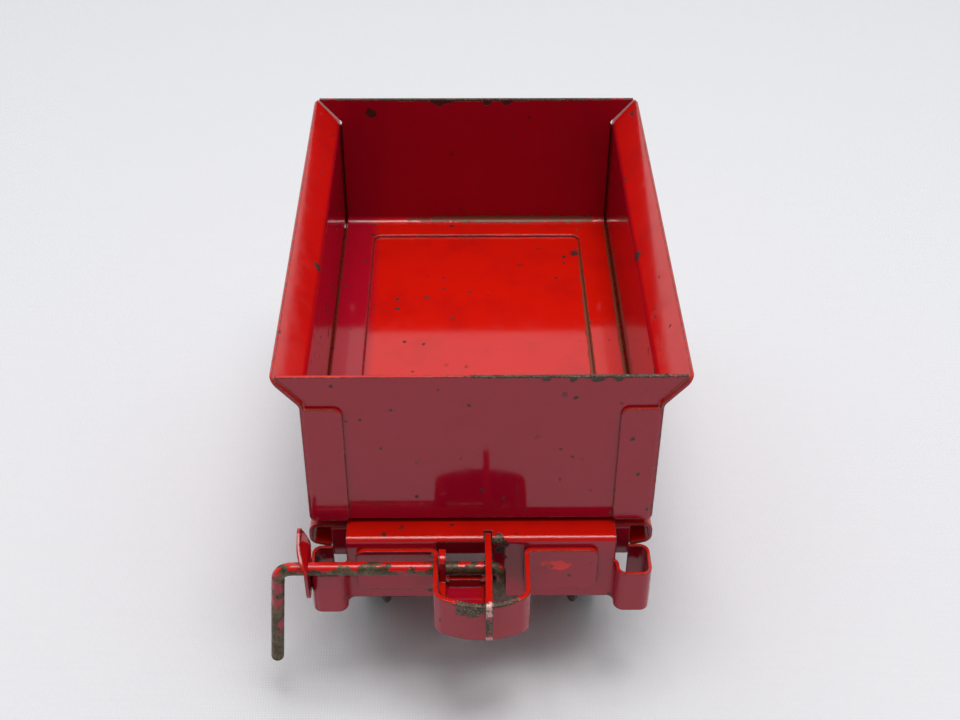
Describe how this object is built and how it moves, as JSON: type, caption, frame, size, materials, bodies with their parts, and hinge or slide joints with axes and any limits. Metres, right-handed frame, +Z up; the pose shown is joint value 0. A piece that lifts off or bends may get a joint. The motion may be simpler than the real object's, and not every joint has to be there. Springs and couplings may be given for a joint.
{
  "type": "model goods wagon",
  "caption": "Pressed-steel model goods wagon: flared open body on a four-wheel flat frame with stake pockets, strap-and-hook couplers and side uncoupling rods.",
  "frame": {"origin": "on the ground under the middle of the wagon", "axes": "+X to the right seen from the front end, +Y along the wagon from front end to rear end, +Z up"},
  "size_m": [0.1058, 0.1856, 0.0952],
  "materials": {
    "body_enamel": "glossy scarlet stoving enamel with chips and scratches on the edges",
    "frame_enamel": "glossy scarlet enamel, duller and more chipped than the body",
    "coupler_enamel": "scarlet enamel worn to bare brown steel on the rubbing edges",
    "rod_steel": "dull grey-brown bare steel with patches of red enamel",
    "wheel_iron": "dark cast metal, treads rubbed bright",
    "axle_steel": "dull bare steel"
  },
  "bodies": {
    "wagon": {"tub_shell": "body_enamel", "tub_left_side": "body_enamel", "tub_right_side": "body_enamel", "frame_plate": "frame_enamel", "front_cross_member": "frame_enamel", "front_body_bearer": "frame_enamel", "front_headstock": "frame_enamel", "front_rod_guide": "frame_enamel", "front_coupler_strap": "coupler_enamel", "front_left_axle_hanger": "frame_enamel", "front_right_axle_hanger": "frame_enamel", "rear_cross_member": "frame_enamel", "rear_body_bearer": "frame_enamel", "rear_headstock": "frame_enamel", "rear_rod_guide": "frame_enamel", "rear_coupler_strap": "coupler_enamel", "rear_left_axle_hanger": "frame_enamel", "rear_right_axle_hanger": "frame_enamel"},
    "front_wheelset": {"front_axle": "axle_steel", "front_left_wheel": "wheel_iron", "front_right_wheel": "wheel_iron"},
    "front_coupler": {"front_coupler_hook": "coupler_enamel", "front_uncoupling_rod": "rod_steel"},
    "rear_wheelset": {"rear_axle": "axle_steel", "rear_left_wheel": "wheel_iron", "rear_right_wheel": "wheel_iron"},
    "rear_coupler": {"rear_coupler_hook": "coupler_enamel", "rear_uncoupling_rod": "rod_steel"}
  },
  "joints": [
    {"name": "front_wheelset_spin", "type": "hinge", "parent": "wagon", "child": "front_wheelset", "pos_m": [0, -0.0378, 0.019], "axis": [1, 0, 0], "continuous": true},
    {"name": "rear_wheelset_spin", "type": "hinge", "parent": "wagon", "child": "rear_wheelset", "pos_m": [0, 0.0378, 0.019], "axis": [1, 0, 0], "continuous": true},
    {"name": "front_coupler_lift", "type": "hinge", "parent": "wagon", "child": "front_coupler", "pos_m": [0, -0.07555, 0.0448], "axis": [-1, 0, 0], "range_deg": [0, 100]},
    {"name": "rear_coupler_lift", "type": "hinge", "parent": "wagon", "child": "rear_coupler", "pos_m": [0, 0.07555, 0.0448], "axis": [1, 0, 0], "range_deg": [0, 100]}
  ]
}
